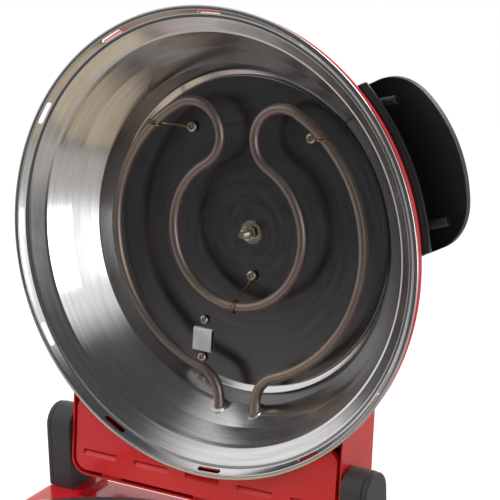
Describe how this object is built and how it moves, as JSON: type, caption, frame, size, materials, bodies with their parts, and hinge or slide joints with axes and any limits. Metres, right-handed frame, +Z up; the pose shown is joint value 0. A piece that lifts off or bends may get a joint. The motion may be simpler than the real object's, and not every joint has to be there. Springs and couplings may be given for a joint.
{
  "type": "electric pizza maker",
  "caption": "Round countertop pizza oven: a steel base with a baking stone and heater, and a domed red lid with its own heater that hinges open at the back.",
  "frame": {"origin": "on the table, under the middle of the round base", "axes": "+Z up, -Y the front, +Y the hinge side, X from side to side"},
  "size_m": [0.382, 0.4597, 0.4855],
  "materials": {
    "red_paint": "gloss red stove enamel on pressed steel",
    "bowl_steel": "bright pressed steel with fine turned lines",
    "plate_steel": "dark grey heat plate, satin",
    "zinc_sheet": "zinc plated sheet",
    "heater_tube": "heat-tinted steel tube",
    "bronze_wire": "browned spring wire",
    "zinc_screws": "yellow zinc plating",
    "pin_steel": "ground steel",
    "bush_bronze": "sintered bronze",
    "black_plastic": "matt black heat-resistant moulding",
    "foot_rubber": "black rubber",
    "ceramic": "steatite",
    "copper_tube": "copper",
    "baking_stone": "fine-grained cordierite, matt",
    "mineral_wool": "pressed mineral wool",
    "lamp_red": "translucent red lens"
  },
  "bodies": {
    "base": {"base_shell": "red_paint", "base_bowl": "bowl_steel", "bottom_cover": "zinc_sheet", "foot_ring": "foot_rubber", "rear_feet": "foot_rubber", "bottom_screws": "zinc_screws", "lower_heater": "heater_tube", "lower_tube_ends": "ceramic", "lower_clips": "bronze_wire", "lower_screws": "zinc_screws", "lower_ferrules": "bowl_steel", "left_arm": "black_plastic", "right_arm": "black_plastic", "left_arm_cover": "black_plastic", "right_arm_cover": "black_plastic", "arm_bolts": "zinc_screws", "hinge_pins": "pin_steel", "pin_clips": "pin_steel", "control_box": "black_plastic", "control_panel": "black_plastic", "panel_screws": "zinc_screws", "lamp_lens": "lamp_red", "lamp_holder": "ceramic", "thermostat": "ceramic", "thermostat_bulb": "copper_tube", "terminal_block": "ceramic", "cord_gland": "black_plastic"},
    "knob": {"knob": "black_plastic", "knob_shaft": "pin_steel"},
    "stone": {"stone": "baking_stone"},
    "lid": {"lid_shell": "red_paint", "lid_bowl": "bowl_steel", "heat_plate": "plate_steel", "lid_insulation": "mineral_wool", "upper_heater": "heater_tube", "upper_clips": "bronze_wire", "upper_screws": "zinc_screws", "upper_ferrules": "bowl_steel", "upper_tube_ends": "ceramic", "centre_stud": "zinc_screws", "centre_spacer": "zinc_screws", "centre_washer": "zinc_screws", "centre_nut": "zinc_screws", "cutout_strap": "bowl_steel", "strap_screws": "zinc_screws", "hinge_box": "red_paint", "hinge_cover": "red_paint", "cover_rivets": "red_paint", "hinge_bushes": "bush_bronze", "handle": "black_plastic", "handle_screws": "zinc_screws", "handle_washers": "black_plastic"}
  },
  "joints": [
    {"name": "lid_hinge", "type": "hinge", "parent": "base", "child": "lid", "pos_m": [0, 0.185, 0.123], "axis": [-1, 0, 0], "range_deg": [-97.8, 0]},
    {"name": "stone_lift", "type": "slide", "parent": "base", "child": "stone", "axis": [0, 0, 1], "range_m": [0, 0.12]},
    {"name": "knob_turn", "type": "hinge", "parent": "base", "child": "knob", "pos_m": [0.16685, -0.11245, 0.0535], "axis": [-0.8854, 0.4648, 0], "range_deg": [0, 270]}
  ]
}
